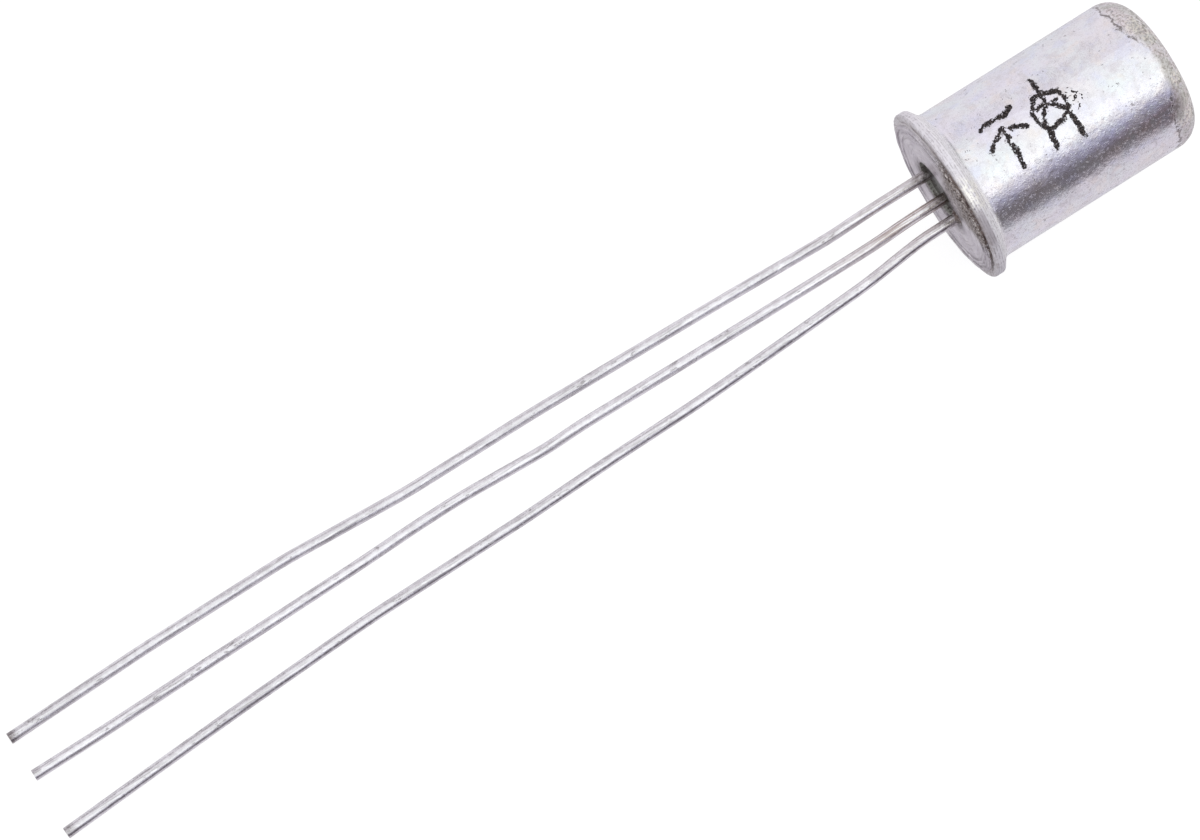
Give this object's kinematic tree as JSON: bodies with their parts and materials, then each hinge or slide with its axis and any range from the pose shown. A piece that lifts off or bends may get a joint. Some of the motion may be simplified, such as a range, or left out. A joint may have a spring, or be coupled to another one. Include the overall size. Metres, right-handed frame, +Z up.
{
  "type": "germanium transistor",
  "caption": "Small round metal can with a flared flange and a glass-sealed base, from which stiff wire leads run out in a row; it lies on its flange and lead tips.",
  "frame": {"origin": "centre of the bounding box, on the surface that the transistor lies on", "axes": "+Z up; +X along the part, from the lead tips to the can's top; Y along the row of leads, the emitter lead on the +Y side"},
  "size_m": [0.0482, 0.0068, 0.0071],
  "materials": {
    "can_metal": "plated, scratched and slightly mottled",
    "header_metal": "plated, dull, stained brown along its seam",
    "seal_glass": "dark, slightly greenish",
    "lead_wire": "tinned wire, fine drawn streaks and pits",
    "nickel": "satin",
    "germanium": "etched, dark grey",
    "indium": "soft satin"
  },
  "bodies": {
    "root": {"can": "can_metal", "header": "header_metal", "glass_seal": "seal_glass", "emitter_lead": "lead_wire", "collector_lead": "lead_wire", "base_lead": "lead_wire", "base_tab": "nickel", "germanium_wafer": "germanium", "emitter_dot": "indium", "collector_dot": "indium", "emitter_whisker": "nickel", "collector_whisker": "nickel"}
  },
  "joints": []
}
